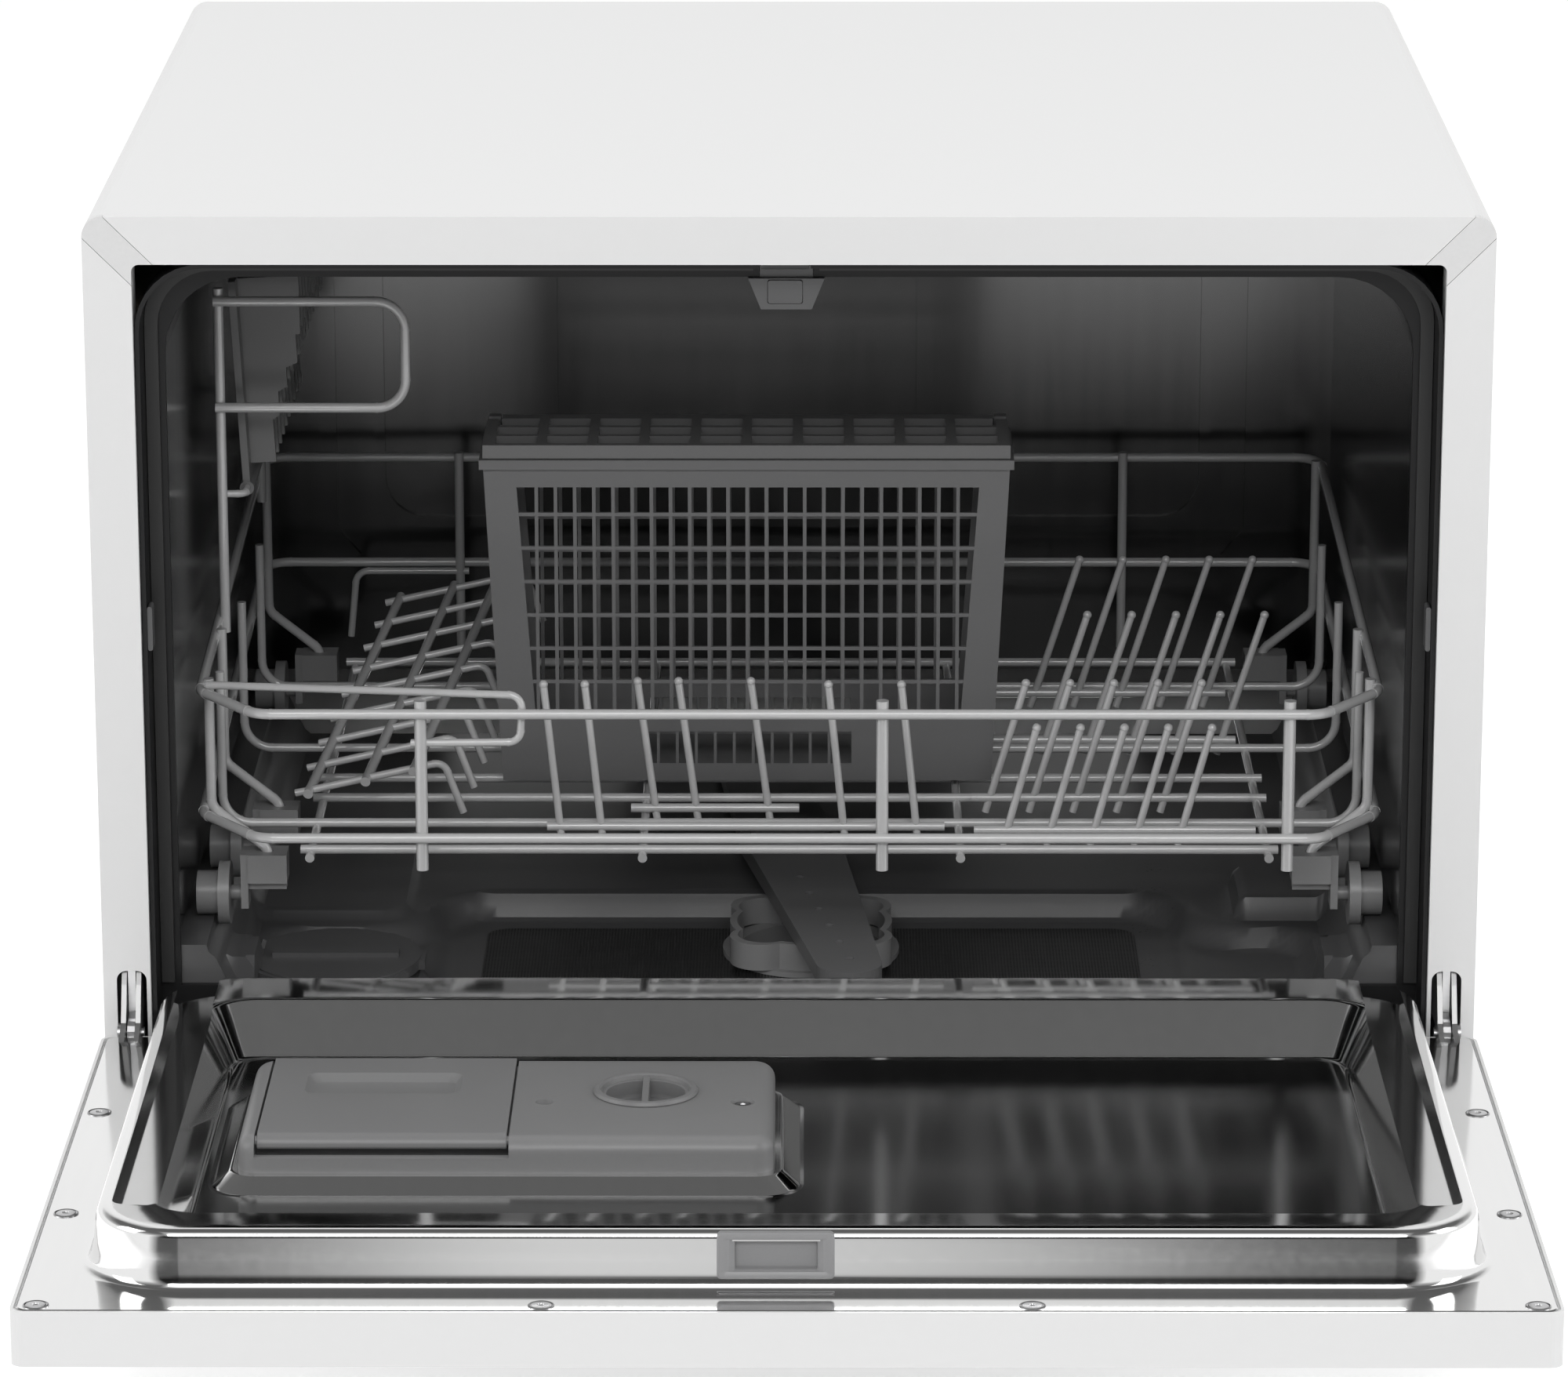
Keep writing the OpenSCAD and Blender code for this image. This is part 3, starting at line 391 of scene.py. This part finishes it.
def doorStubAcross(x, y, z, r, w, n=20):  # a short pin along the door's width
    return loft([[atDoor(x + k, y + a, z + b) for a, b in circle(r, n)] for k in (0, w)])

def roundOver(box, r, top, radius, steps=6):  # rings that roll a rounded block's top edge inward
    x0, z0, x1, z1 = box
    rings = []
    for i in range(steps + 1):
        a = radians(90 * i / steps)
        inset = radius * (1 - cos(a))
        rings.append(doorRing(x0 + inset, z0 + inset, x1 - inset, z1 - inset, max(r - inset, 0.6),
                              top - radius * (1 - sin(a))))
    return rings

# The door's liner is one pressing. Each row is half width, low end, high end, corner radius and depth.
liner = {
    "rings": [
        (273.0, 113.4, 436.0, 5, -2.2), (273.0, 113.4, 436.0, 5, -1.4), (272.5, 113.4, 435.5, 4.6, -1.0),
        (255.4, 113.5, 419.6, 38, -1.0), (253.6, 113.6, 417.9, 37, -0.6), (252.5, 113.6, 416.8, 36.3, 0),
        (251.9, 113.5, 416.2, 35.8, 0.8), (251.5, 113.2, 415.75, 35.3, 1.8), (251.2, 112.9, 415.4, 34.9, 2.8),
        (250.85, 112.0, 415.0, 34.5, 4.3), (250.5, 110.9, 414.65, 34, 6), (250.2, 109.6, 414.3, 33.6, 8),
        (249.95, 108.4, 413.95, 33.3, 10), (249.75, 107.1, 413.65, 33.1, 12),
        (249.2, 103.6, 412.7, 32.6, 17.6), (248.8, 102.8, 412.1, 32, 19.0), (248.0, 102.4, 411.2, 31.5, 20.1),
        (246.6, 103.0, 409.8, 30.6, 20.7), (244.0, 105.0, 407.0, 29, 21.0),
        (231.4, 128.4, 392.0, 20, 20.2), (230.3, 129.5, 391.0, 19.4, 19.9), (229.5, 130.5, 390.2, 19, 19.2),
        (220.0, 146.0, 387.0, 14, 2.3), (219.3, 147.0, 386.6, 13.6, 1.4), (218.2, 148.2, 385.8, 13, 1.0),
    ],
    "cornerSteps": 12,
    "groove": (228, 243.5), "grooveDepth": (14.5, 30), "grooveRun": (99, 384), "grooveCorner": 4,
    "latchPocket": (-20.3, 16.3, 4.2, 16.8, 402, 418),
}

def makeLiner(v):
    shape = loft([doorRing(-half, low, half, high, r, y, v["cornerSteps"])
                  for half, low, high, r, y in v["rings"]])
    obj = addPiece("doorLinerPressing", shape, "door", "stainless", ["door_liner"])
    x0, x1 = v["groove"]
    grooves = [doorBlock(a, b, *v["grooveDepth"], *v["grooveRun"], v["grooveCorner"])
               for a, b in ((x0, x1), (-x1, -x0))]    # the wheels of the drawn-out basket run in them
    cutAway(obj, *grooves, doorBlock(*v["latchPocket"]))
    dress(obj, linerFinish)
    flats(obj)

makeLiner(liner)
print("scene: door liner")

# The detergent dispenser: a steel skirt, the moulded body, its lid and the rinse-aid cap.
dispenser = {
    "box": (-205, 206, -5, 307), "corner": 8, "back": -16, "shoulder": 5, "top": 20.0,
    "edge": 6.0, "bevel": 0.5,
    "skirt": [(11, 1.02, 15), (9.6, 1.2, 14), (9, 1.8, 13.5), (3.6, 6.0, 10.4),     # overhang, height, corner
              (3.0, 6.5, 9.6), (2.2, 6.6, 9), (0.9, 6.6, 8)],
    "skirtLow": 0.8,                                                                # its share at the low end
    "well": (-198.5, -103.7), "wellTop": 22, "wellCorner": 0.8,
    "wellSteps": [(16.4, 205, 303.4), (6.0, 292, 303.4), (12.6, 300, 309)],         # depth, low end, high end
    "tray": (-190, -112, -10, 21, 216, 288), "trayCorner": 10,
    "cap": (-54, 249.5), "capWell": [(16.4, 4), (16.4, 21)],                        # radius, height
    "dimple": (-92, 262), "dimpleWell": [(3.0, 17.6), (3.6, 20.5)],
    "screw": (-17, 262), "screwWell": [(4.2, 18.6), (4.6, 20.5)],
}

def makeDispenser(v):
    x0, z0, x1, z1 = v["box"]
    skirt = loft([doorRing(x0 - out, z0 - out * v["skirtLow"], x1 + out, z1 + out, r, y)
                  for out, y, r in v["skirt"]])
    flats(addPiece("dispenserSkirt", skirt, "door", "stainless", ["dispenser_bezel"]))
    housing = loft([doorRing(*v["box"], v["corner"], y) for y in (v["back"], v["shoulder"])]
                   + roundOver(v["box"], v["corner"], v["top"], v["edge"]))
    body = addPiece("dispenserHousing", housing, "door", "basket_plastic", ["dispenser_body"])
    wells = [doorBlock(*v["well"], depth, v["wellTop"], low, high, v["wellCorner"])
             for depth, low, high in v["wellSteps"]]
    cutAway(body, *wells, doorBlock(*v["tray"], v["trayCorner"], 8), doorStub(*v["cap"], v["capWell"]),
            doorStub(*v["dimple"], v["dimpleWell"], 24), doorStub(*v["screw"], v["screwWell"], 24))
    dress(body, housingFinish)
    roundEdges(body, v["bevel"])

# Each step of the lid's bar recess is three insets, a corner radius and a height over the lid's top.
detergentLid = {
    "box": (-197.6, -104.6, 207.5, 303.2), "top": 20.2, "thick": 3.2, "nose": 0.7, "bevel": 0.5,
    "roll": 4.6, "hem": 0.9, "hemEnds": (0.6, 4), "underside": 8,                   # its rolled near edge
    "bar": (-184, 226, -124, 253),
    "barSteps": [(0, 0, 0, 5, 0.6), (0.8, 0.8, 0.8, 4.4, -0.3), (3, 4, 8, 3, -2.6)],
    "pinZ": 300.4, "pinY": 17.2, "pinRadius": 1.9, "pinWide": 1.6, "pins": (-198.4, -105.4),
}

def makeDetergentLid(v):
    x0, x1, low, high = v["box"]
    top, r = v["top"], v["roll"]
    turn = quarter(top - r, high - r, r, 0, 9)
    hem = top - r - v["hem"]
    side = ([(top - v["thick"], low), (top - v["nose"], low), (top, low + v["nose"])] + turn
            + [(hem, high - end) for end in v["hemEnds"]] + [(top - v["thick"], high - v["underside"])])
    lid = addPiece("detergentLidPanel", loft([[atDoor(x, y, z) for y, z in side] for x in (x0, x1)]),
                   "detergent_lid", "lid_plastic", ["detergent_lid"])
    a, c, b, d = v["bar"]
    cutAway(lid, loft([doorRing(a + inset, c + start, b - inset, d - end, corner, top + rise, 6)
                       for inset, start, end, corner, rise in v["barSteps"]]))
    roundEdges(lid, v["bevel"])
    pins = [doorStubAcross(x, v["pinY"], v["pinZ"], v["pinRadius"], v["pinWide"]) for x in v["pins"]]
    addPiece("detergentLidPins", merge(*pins), "detergent_lid", "lid_plastic")

rinseCap = {
    "dial": [(15, 8), (15, 19.6), (19.6, 19.8), (20, 20.6), (19.3, 21.7), (17.6, 21.9), (16.8, 21.3),
             (14.8, 13.6), (13.8, 13.0)], "dialSides": 56,                          # radius, height
    "blade": (1.3, 15.8), "bladeHeights": (12.5, 21.2), "bladeCorner": 0.6, "bevel": 0.4,
}

def makeRinseCap(v):
    x, z = dispenser["cap"]
    dial = doorStub(x, z, v["dial"], v["dialSides"])
    flats(addPiece("rinseCapDial", dial, "rinse_cap", "lid_plastic", ["rinse_cap"]))
    a, b = v["blade"]
    grip = doorBlock(x - a, x + a, *v["bladeHeights"], z - b, z + b, v["bladeCorner"])
    roundEdges(addPiece("rinseCapBlade", grip, "rinse_cap", "lid_plastic"), v["bevel"])

makeDispenser(dispenser)
makeDetergentLid(detergentLid)
makeRinseCap(rinseCap)
print("scene: dispenser")

# The liner's screws, and one in the dispenser: raised rings around a small hole. A head's profile
# gives shares of its radius, each with its height over the seat.
screws = {
    "spots": [(s * 266, z) for s in (-1, 1) for z in (211, 331, 431)] + [(-87, 431), (87, 431)],
    "radius": 4.7, "seat": -1.05, "dispenserRadius": 3.6, "dispenserSeat": 18.6, "sides": 32,
    "head": [(1, 0), (1, 0.3), (0.9, 0.55), (0.8, 0.3), (0.7, 0.5), (0.3, 0.55), (0.24, 0.1)],
}

def screwHead(x, z, radius, seat, v):
    return doorStub(x, z, [(radius * share, seat + height) for share, height in v["head"]], v["sides"])

def makeScrews(v):
    heads = merge(*[screwHead(x, z, v["radius"], v["seat"], v) for x, z in v["spots"]])
    flats(addPiece("linerScrewHeads", heads, "door", "zinc", ["liner_screws"]))
    head = screwHead(*dispenser["screw"], v["dispenserRadius"], v["dispenserSeat"], v)
    addPiece("dispenserScrew", head, "door", "zinc")

makeScrews(screws)

# The striker frame sits in the near wall of the liner and leans with it.
striker = {
    "box": (-25, 3.6, 17, 20.2), "hole": (-18.6, 6.6, 11, 17.0), "face": 415.5, "lean": 0.16, "leanFrom": 3.4,
    "boxRings": [(0, 1.6, -6), (0, 1.6, 0.3), (0.6, 1.4, 0.9), (1.6, 1.2, 0.9), (2.6, 1.2, 0.4)],
    "holeRings": [(2.0, 1.0, 0.4), (0.6, 0.6, -0.8), (0, 0.5, -1.2), (-0.2, 0.5, -4)], "holeRise": 0.7,
}

def makeStriker(v):
    def ring(box, across, up, r, out):
        x0, y0, x1, y1 = box
        outline = roundedRect(x0 - across, y0 - up, x1 + across, y1 + up, r, 4)
        return [atDoor(x, y, v["face"] + out - (y - v["leanFrom"]) * v["lean"]) for x, y in outline]
    outer = [ring(v["box"], -inset, -inset, r, out) for inset, r, out in v["boxRings"]]
    inner = [ring(v["hole"], grow, grow * v["holeRise"], r, out) for grow, r, out in v["holeRings"]]
    addPiece("strikerFrame", loft(outer + inner), "door", "grey_plastic", ["strike_frame"])

makeStriker(striker)
print("scene: screws and striker")

# The moulded tub floor is a shell over a height map, with its grid lines set along the features.
# A box ends in its corner radius, and a raised box and the stop end in their height as well.
tubFloor = {
    "level": 107, "basin": (-152, 34, 168, 179, 26), "basinDepth": 11, "basinWall": 7.5, "basinLip": 2,
    "shelf": (-219, 26, 220, 131, 20), "shelfDepth": 9, "join": 34,     # a lower level, out to both sides
    "raised": [(-232, 136, -158, 260, 14, 4), (186, 138, 232, 190, 6, 9)], "raisedWall": 5,
    "stop": (217, 47, 262, 80, 3, 13), "stopWall": 1.5,                 # one on each side
    "rail": 132, "ramp": (222, 235), "railStep": 3, "railWall": 0.8,
    "saltRing": (-187, 76, 38.5), "saltBoss": 6.5, "saltWall": 2.5,
    "skin": 3.0, "sill": 104, "sillDeep": 31.1,
    "holes": [(9, 128, 33), (-187, 76, 24)],
    "linesX": (0, 150, 217, 218.5, 222, 235, 235.8, 249.8), "step": 2.5,
    "linesY": (27.4, 31, 47, 48.5, 78.5, 80, 180, 300, 418.6),
}

def ease(t):
    t = max(0.0, min(1.0, t))
    return t * t * (3 - 2 * t)

def insideRect(x, y, x0, y0, x1, y1, r):  # how far inside a rounded rectangle a point lies
    qx = abs(x - (x0 + x1) / 2) - (x1 - x0) / 2 + r
    qy = abs(y - (y0 + y1) / 2) - (y1 - y0) / 2 + r
    return r - hypot(max(qx, 0), max(qy, 0)) - min(max(qx, qy), 0)

def together(a, b, k):  # the larger of two depths, with the corner between them filled
    h = max(k - abs(a - b), 0) / k
    return max(a, b) + h * h * k / 4

def floorHeight(x, y, v):
    inBasin = insideRect(x, y, *v["basin"])
    inShelf = together(inBasin, insideRect(x, y, *v["shelf"]), v["join"])
    sx, sy, sr = v["saltRing"]
    boss = v["saltBoss"] * ease((sr - hypot(x - sx, y - sy)) / v["saltWall"])
    z = v["level"] - v["shelfDepth"] * ease(inShelf / v["basinWall"]) + boss
    z -= (v["basinDepth"] - v["shelfDepth"]) * ease((inBasin - v["basinLip"]) / v["basinWall"])
    for *rect, rise in v["raised"]:
        z += rise * ease(insideRect(x, y, *rect) / v["raisedWall"])
    a, b = v["ramp"]
    z += (v["rail"] - v["railStep"] - z) * ease((abs(x) - a) / (b - a))
    z += v["railStep"] * ease((abs(x) - b) / v["railWall"])
    *rect, rise = v["stop"]
    return z + max(v["level"] + rise - z, 0) * ease(insideRect(abs(x), y, *rect) / v["stopWall"])

def spread(lines, step):  # the lines, with more between them no further apart than about a step
    out = []
    for a, b in zip(lines, lines[1:]):
        n = max(1, round((b - a) / step))
        out += [a + (b - a) * i / n for i in range(n)]
    return out + [lines[-1]]

def makeTubFloor(v):
    xs = spread([-x for x in reversed(v["linesX"][1:])] + list(v["linesX"]), v["step"])
    ys = spread(v["linesY"], v["step"])
    nx, ny = len(xs), len(ys)
    heights = [(x, y, floorHeight(x, y, v)) for y in ys for x in xs]
    verts = [at(x, y, z) for x, y, z in heights]
    verts += [at(x, y, min(z - v["skin"], v["sill"] if y < v["sillDeep"] else z)) for x, y, z in heights]
    kept = set()
    for j in range(ny - 1):
        for i in range(nx - 1):
            cx, cy = (xs[i] + xs[i + 1]) / 2, (ys[j] + ys[j + 1]) / 2
            if all(hypot(cx - hx, cy - hy) > hr for hx, hy, hr in v["holes"]):
                kept.add((i, j))
    faces = []
    under = nx * ny    # from a point on top to the one below it
    for i, j in kept:
        p, q = j * nx + i, j * nx + i + 1
        r, s = q + nx, p + nx
        faces += [(p, q, r, s), (s + under, r + under, q + under, p + under)]
        for (di, dj), (m, n) in {(0, -1): (p, q), (1, 0): (q, r), (0, 1): (r, s), (-1, 0): (s, p)}.items():
            if (i + di, j + dj) not in kept:
                faces.append((n, m, m + under, n + under))
    addPiece("tubFloorMoulding", (verts, faces), "cabinet", "dark_plastic", ["tub_floor"])

makeTubFloor(tubFloor)
print("scene: tub floor")

# Soft studio: a pale floor that the camera sees as white, and a world whose light is plain. Only
# the camera, mirrors and glass see its tones. Each pair is a place along a direction and its tone.
studio = {
    "floor": 14.0, "floorTone": 0.9, "floorRough": 0.9, "lift": 0.5, "world": 0.43,
    "sky": [(-1.0, 1.0), (0.3, 0.97), (0.84, 0.9), (0.91, 0.13), (1.0, 0.12)],      # by height, in the middle
    "sideSky": [(-1.0, 1.0), (0.3, 0.97), (0.42, 0.5), (0.62, 0.14), (1.0, 0.12)],  # by height, at the sides
    "ahead": [(-0.4, 0), (-0.18, 1), (0.18, 1), (0.4, 0)],                          # the middle sky's share
    "front": [(-1.0, 1.0), (0.12, 1.0), (0.22, 0.1), (1.0, 0.1)],                   # glow's share by height
    "glow": [(-0.13, 0.10), (-0.085, 0.24), (-0.045, 0.78), (0.0, 0.68), (0.035, 0.52),
             (0.07, 0.16), (0.13, 0.08)], "glowReach": 0.2,                         # across the front
    "band": [(-0.86, 1), (-0.72, 0)],                                               # the front's share
}

def makeFloor(v):
    bm = bmesh.new()
    bmesh.ops.create_grid(bm, x_segments=2, y_segments=2, size=v["floor"] / 2)
    mesh = bpy.data.meshes.new("studioFloor")
    bm.to_mesh(mesh)
    bm.free()
    floor = bpy.data.objects.new("studioFloor", mesh)
    bpy.context.scene.collection.objects.link(floor)
    s = newShader("floorWhite")
    lift = s.blend(s.plainRays(), (0, 0, 0), (v["lift"],) * 3)
    mesh.materials.append(s.surface({"Base Color": (*(v["floorTone"],) * 3, 1), "Roughness": v["floorRough"],
                                     "Emission Color": lift, "Emission Strength": 1.0}))

def makeWorld(v):
    world = bpy.data.worlds.new("studio")
    bpy.context.scene.world = world
    s = Shader(world, "Generated")
    sky = s.blend(s.toneAlong("X", v["ahead"]), s.toneAlong("Z", v["sideSky"]), s.toneAlong("Z", v["sky"]))
    glow = s.toneAlong("X", v["glow"], v["glowReach"])
    front = s.blend(1.0, glow, s.toneAlong("Z", v["front"]), "MULTIPLY")
    tones = s.blend(s.toneAlong("Y", v["band"]), sky, front)
    soft = s.make("ShaderNodeBackground", {}, {"Color": (1, 1, 1, 1), "Strength": v["world"]})
    seen = s.make("ShaderNodeBackground", {}, {"Color": tones, "Strength": 1.0})
    light = s.make("ShaderNodeMixShader", {}, {0: s.plainRays(), 1: soft, 2: seen})
    s.make("ShaderNodeOutputWorld", {}, {"Surface": light})

# Each lamp has its place, its target, its size and its power. Mirrors don't show the top one.
lamps = {
    "frontBox": ((0, -3.2, 2.15), (0, 0, 0.2), (2.6, 1.0), 44),
    "leftBox": ((-2.6, -0.8, 1.5), (0, 0, 0.2), (1.4, 1.8), 16),
    "rightBox": ((2.6, -0.8, 1.5), (0, 0, 0.2), (1.4, 1.8), 16),
    "topBox": ((0, 0.6, 2.8), (0, 0.1, 0), (2.2, 1.6), 20, False),
}

def addLamp(name, place, target, size, power, mirrored=True):
    lamp = bpy.data.lights.new(name, "AREA")
    lamp.shape, lamp.size, lamp.size_y, lamp.energy = "RECTANGLE", *size, power
    obj = bpy.data.objects.new(name, lamp)
    bpy.context.scene.collection.objects.link(obj)
    aim = (Vector(target) - Vector(place)).to_track_quat("-Z", "Y").to_matrix().to_4x4()
    obj.matrix_world = Matrix.Translation(place) @ aim
    obj.visible_glossy = mirrored

makeFloor(studio)
makeWorld(studio)
for name, values in lamps.items():
    addLamp(name, *values)
bpy.context.scene.view_settings.view_transform = "Standard"
print("scene: stage and lamps")
